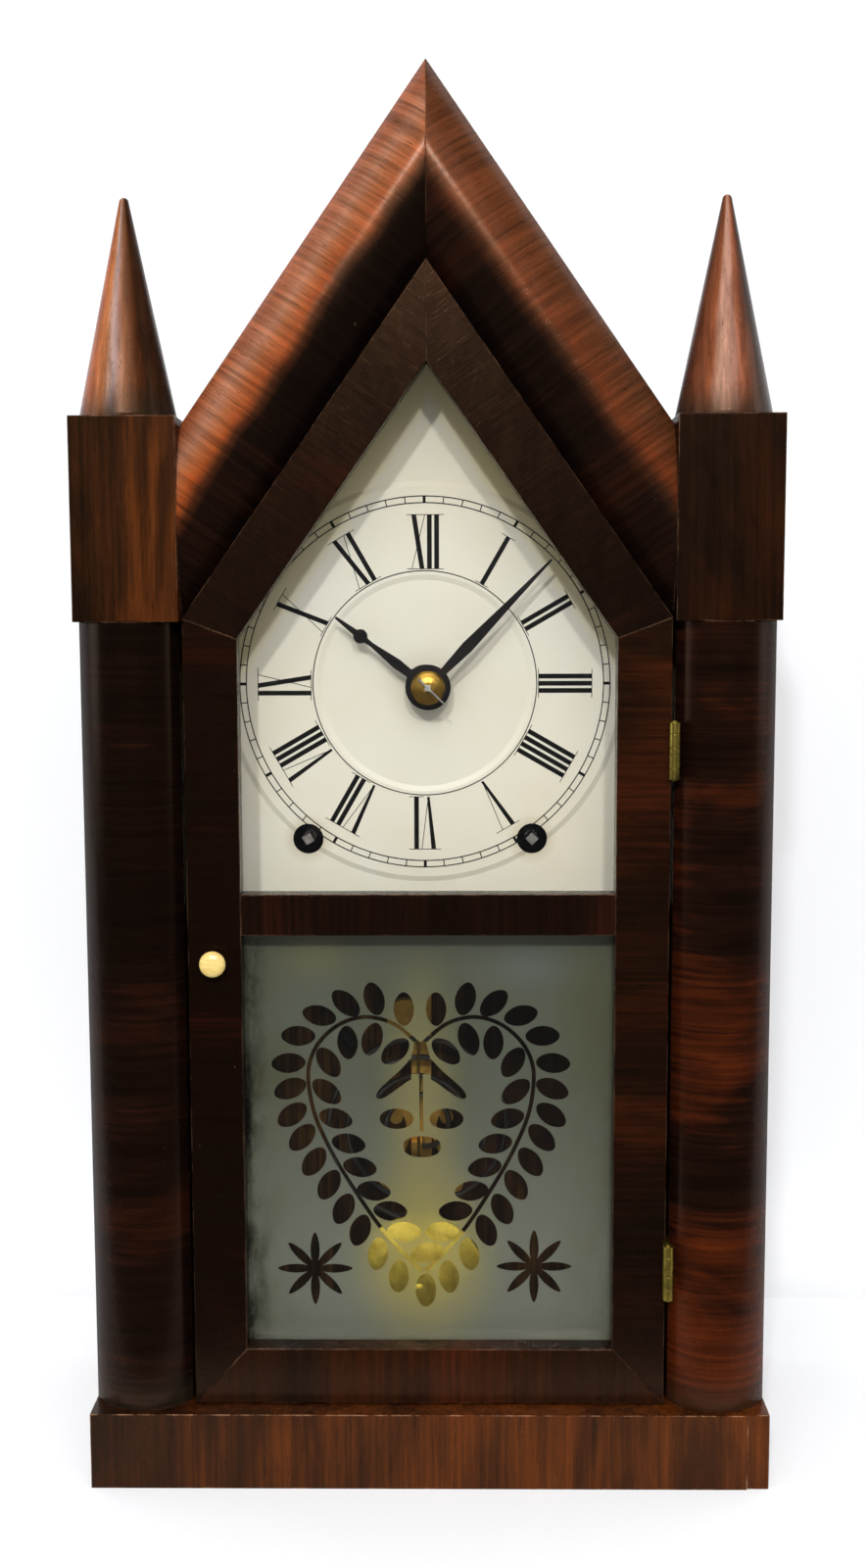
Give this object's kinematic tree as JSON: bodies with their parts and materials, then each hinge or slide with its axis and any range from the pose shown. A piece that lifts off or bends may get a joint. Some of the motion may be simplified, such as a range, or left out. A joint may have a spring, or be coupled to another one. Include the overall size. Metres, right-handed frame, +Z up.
{
  "type": "steeple mantel clock",
  "caption": "Gothic steeple mantel clock: gabled veneered case, two turned steeples, glazed hinged door, painted dial, brass time and strike movement, pendulum and coil gong",
  "frame": {"origin": "centre of the bounding box in plan, on the surface that the clock stands on", "axes": "+Z up, -Y towards the viewer of the dial, +X to the viewer's right"},
  "size_m": [0.248, 0.108, 0.5079],
  "materials": {
    "veneer": "dark red-brown rosewood veneer under worn shellac",
    "frame_wood": "red-brown mahogany under shellac",
    "steeple_wood": "orange-brown turned wood under shellac",
    "case_wood": "stained wood, satin",
    "inner_wood": "bare pine",
    "putty": "old linseed putty, matt",
    "clear_glass": "old clear window glass",
    "tablet_glass": "acid-frosted glass with a clear wreath and stars",
    "dial_paint": "cream paint on zinc, black numerals, semi-gloss",
    "hand_steel": "blued steel, nearly black",
    "bone": "bone, worn smooth",
    "plate_brass": "rolled brass, dulled",
    "wheel_brass": "brass wheels on steel arbors",
    "hinge_brass": "brass, dulled",
    "bob_brass": "polished sheet brass over lead",
    "arbor_steel": "turned steel",
    "spring_steel": "blued spring steel",
    "gong_steel": "blued steel wire, dark",
    "gilt_iron": "cast iron, bronze-gilt paint"
  },
  "bodies": {
    "case": {"plinth_front": "veneer", "plinth_sides": "case_wood", "bottom_board": "inner_wood", "case_sides": "case_wood", "front_stiles": "frame_wood", "pillar_left": "veneer", "pillar_right": "veneer", "cap_block_left": "veneer", "cap_block_right": "veneer", "steeple_left": "steeple_wood", "steeple_right": "steeple_wood", "roof_boards": "case_wood", "gable_moulding_left": "veneer", "gable_moulding_right": "veneer", "back_board": "inner_wood", "mounting_battens": "inner_wood", "dial_plate": "dial_paint", "movement_screws": "arbor_steel", "gong_stand": "gilt_iron", "gong_coil": "gong_steel", "hinge_case_leaves": "hinge_brass", "movement_front_plate": "plate_brass", "movement_back_plate": "plate_brass", "mainsprings": "spring_steel"},
    "door": {"hinge_door_leaves": "hinge_brass", "door_stile_left": "frame_wood", "door_stile_right": "frame_wood", "door_bottom_rail": "frame_wood", "door_middle_rail": "frame_wood", "door_gable_rail_left": "frame_wood", "door_gable_rail_right": "frame_wood", "upper_glass": "clear_glass", "lower_glass": "tablet_glass", "glazing_strips": "putty"},
    "latch": {"door_knob": "bone", "latch_hook": "arbor_steel"},
    "minute": {"centre_arbor": "wheel_brass", "minute_hand": "hand_steel", "hand_washer": "bob_brass"},
    "hour": {"hour_wheel": "wheel_brass", "hour_hand": "hand_steel"},
    "minute_wheel": {"minute_wheel": "wheel_brass"},
    "time_second": {"time_second_wheel": "wheel_brass"},
    "time_main": {"time_main_wheel": "wheel_brass"},
    "time_click": {"time_click": "arbor_steel"},
    "time_winding": {"time_winding_arbor": "arbor_steel"},
    "third": {"third_wheel": "wheel_brass"},
    "escape": {"escape_wheel": "wheel_brass"},
    "verge": {"verge": "arbor_steel"},
    "pendulum": {"pendulum_rod": "arbor_steel", "pendulum_bob": "bob_brass"},
    "strike_warning": {"strike_warning_wheel": "wheel_brass"},
    "strike_fly": {"strike_fly": "wheel_brass"},
    "strike_pin": {"strike_pin_wheel": "wheel_brass"},
    "strike_count": {"strike_count_wheel": "wheel_brass"},
    "strike_main": {"strike_main_wheel": "wheel_brass"},
    "strike_click": {"strike_click": "arbor_steel"},
    "strike_winding": {"strike_winding_arbor": "arbor_steel"},
    "hammer": {"hammer": "arbor_steel"},
    "count_lever": {"count_lever": "arbor_steel"}
  },
  "joints": [
    {"name": "door_swing", "type": "hinge", "parent": "case", "child": "door", "pos_m": [0.0871, -0.0478, 0.175], "axis": [0, 0, 1], "range_deg": [0, 125]},
    {"name": "latch_turn", "type": "hinge", "parent": "door", "child": "latch", "pos_m": [-0.0768, -0.0462, 0.1946], "axis": [0, 1, 0], "range_deg": [0, 90]},
    {"name": "minute_turn", "type": "hinge", "parent": "case", "child": "minute", "pos_m": [0, 0.018, 0.292], "axis": [0, 1, 0], "continuous": true},
    {"name": "hour_turn", "type": "hinge", "parent": "case", "child": "hour", "pos_m": [0, 0.018, 0.292], "axis": [0, 1, 0], "continuous": true},
    {"name": "minute_wheel_turn", "type": "hinge", "parent": "case", "child": "minute_wheel", "pos_m": [0.01157, 0.018, 0.27821], "axis": [0, 1, 0], "continuous": true},
    {"name": "time_second_turn", "type": "hinge", "parent": "case", "child": "time_second", "pos_m": [0.02312, 0.018, 0.26761], "axis": [0, 1, 0], "continuous": true},
    {"name": "time_main_turn", "type": "hinge", "parent": "case", "child": "time_main", "pos_m": [0.0385, 0.018, 0.2354], "axis": [0, 1, 0], "continuous": true},
    {"name": "time_wind", "type": "hinge", "parent": "time_main", "child": "time_winding", "pos_m": [0.0385, 0.018, 0.2354], "axis": [0, 1, 0], "continuous": true},
    {"name": "time_click_lift", "type": "hinge", "parent": "time_main", "child": "time_click", "pos_m": [0.0482, 0.018, 0.24377], "axis": [0, 1, 0], "range_deg": [0, 14]},
    {"name": "third_turn", "type": "hinge", "parent": "case", "child": "third", "pos_m": [0.01416, 0.018, 0.30812], "axis": [0, 1, 0], "continuous": true},
    {"name": "escape_turn", "type": "hinge", "parent": "case", "child": "escape", "pos_m": [-0.0044, 0.018, 0.31502], "axis": [0, 1, 0], "continuous": true},
    {"name": "pendulum_swing", "type": "hinge", "parent": "case", "child": "pendulum", "pos_m": [-0.0044, 0.018, 0.3327], "axis": [0, 1, 0], "range_deg": [-2.5, 2.5]},
    {"name": "verge_rock", "type": "hinge", "parent": "case", "child": "verge", "pos_m": [-0.0044, 0.018, 0.3327], "axis": [0, 1, 0], "range_deg": [-2.5, 2.5]},
    {"name": "strike_warning_turn", "type": "hinge", "parent": "case", "child": "strike_warning", "pos_m": [-0.03414, 0.018, 0.31123], "axis": [0, 1, 0], "continuous": true},
    {"name": "strike_fly_turn", "type": "hinge", "parent": "case", "child": "strike_fly", "pos_m": [-0.02739, 0.018, 0.32293], "axis": [0, 1, 0], "continuous": true},
    {"name": "strike_pin_turn", "type": "hinge", "parent": "case", "child": "strike_pin", "pos_m": [-0.03099, 0.018, 0.29336], "axis": [0, 1, 0], "continuous": true},
    {"name": "strike_count_turn", "type": "hinge", "parent": "case", "child": "strike_count", "pos_m": [-0.038, 0.018, 0.27041], "axis": [0, 1, 0], "continuous": true},
    {"name": "strike_main_turn", "type": "hinge", "parent": "case", "child": "strike_main", "pos_m": [-0.045, 0.018, 0.2354], "axis": [0, 1, 0], "continuous": true},
    {"name": "strike_wind", "type": "hinge", "parent": "strike_main", "child": "strike_winding", "pos_m": [-0.045, 0.018, 0.2354], "axis": [0, 1, 0], "continuous": true},
    {"name": "strike_click_lift", "type": "hinge", "parent": "strike_main", "child": "strike_click", "pos_m": [-0.0353, 0.018, 0.24377], "axis": [0, 1, 0], "range_deg": [0, 14]},
    {"name": "hammer_lift", "type": "hinge", "parent": "case", "child": "hammer", "pos_m": [-0.0115, 0.018, 0.254], "axis": [0, 1, 0], "range_deg": [-1.2, 14]},
    {"name": "count_lever_move", "type": "hinge", "parent": "case", "child": "count_lever", "pos_m": [-0.058, 0.018, 0.2884], "axis": [0, 1, 0], "range_deg": [-6, 6]}
  ],
  "couplings": [
    {"joint": "hour_turn", "follows": "minute_turn", "ratio": 0.083333},
    {"joint": "minute_wheel_turn", "follows": "minute_turn", "ratio": -0.33333},
    {"joint": "time_second_turn", "follows": "minute_turn", "ratio": -0.16667},
    {"joint": "time_main_turn", "follows": "minute_turn", "ratio": 0.027778},
    {"joint": "third_turn", "follows": "minute_turn", "ratio": -12},
    {"joint": "escape_turn", "follows": "minute_turn", "ratio": 132},
    {"joint": "verge_rock", "follows": "pendulum_swing", "ratio": 1},
    {"joint": "strike_fly_turn", "follows": "strike_warning_turn", "ratio": -8},
    {"joint": "strike_pin_turn", "follows": "strike_warning_turn", "ratio": -0.1},
    {"joint": "strike_count_turn", "follows": "strike_warning_turn", "ratio": 0.011111},
    {"joint": "strike_main_turn", "follows": "strike_warning_turn", "ratio": -0.0018519}
  ]
}
